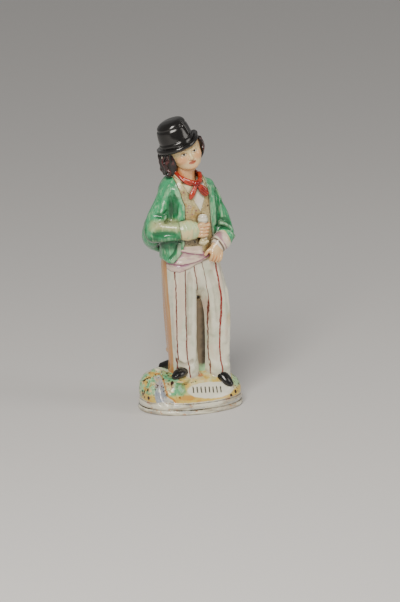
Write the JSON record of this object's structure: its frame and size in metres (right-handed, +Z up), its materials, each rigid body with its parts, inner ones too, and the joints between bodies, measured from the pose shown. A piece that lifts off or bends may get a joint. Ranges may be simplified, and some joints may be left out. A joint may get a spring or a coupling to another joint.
{
  "type": "staffordshire figure",
  "caption": "Double-sided glazed earthenware figure of a standing man in a hat, neckerchief and jacket, holding a goblet, on an oval mound base.",
  "frame": {"origin": "middle of the oval base, on the plane that the foot ring stands on", "axes": "+Z up, -Y the way the front man faces, +X the front man's left"},
  "size_m": [0.08, 0.058, 0.2202],
  "materials": {
    "glazed_earthenware": "glossy lead glaze over cream-white earthenware, painted in enamels: green, black, iron red, pink, buff and ochre"
  },
  "bodies": {
    "root": {"figure": "glazed_earthenware"}
  },
  "joints": []
}
